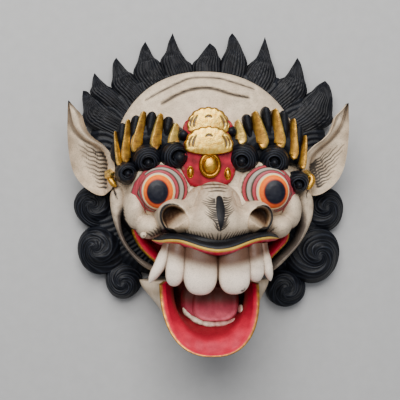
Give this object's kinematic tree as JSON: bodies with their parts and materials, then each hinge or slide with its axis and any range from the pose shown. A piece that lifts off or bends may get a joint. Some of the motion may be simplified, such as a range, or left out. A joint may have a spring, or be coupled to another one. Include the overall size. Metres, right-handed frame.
{
  "type": "carved demon mask",
  "caption": "Carved and painted wooden demon mask with flame-like hair, fanned brow, bulging eyes, pointed ears, long upper teeth and a gaping lower jaw.",
  "frame": {"origin": "centre of the bounding box in plan, on the flat back of the mask, which lies on the floor", "axes": "+X to the right of someone looking down on the face, +Y up the face towards the top of the hair, +Z out of the face, up from the floor"},
  "size_m": [0.2956, 0.329, 0.1273],
  "materials": {
    "head_paint": "carved wood in satin paint: black hair and brow, cream face, red, crimson and gold details",
    "jaw_paint": "carved wood in satin red paint, with a thin gold rim, a pink tongue and cream outer sides",
    "ear_paint": "carved wood in satin cream paint with black strokes and a gold stud"
  },
  "bodies": {
    "root": {"mask_head": "head_paint", "lower_jaw": "jaw_paint", "ear_left": "ear_paint", "ear_right": "ear_paint"}
  },
  "joints": []
}
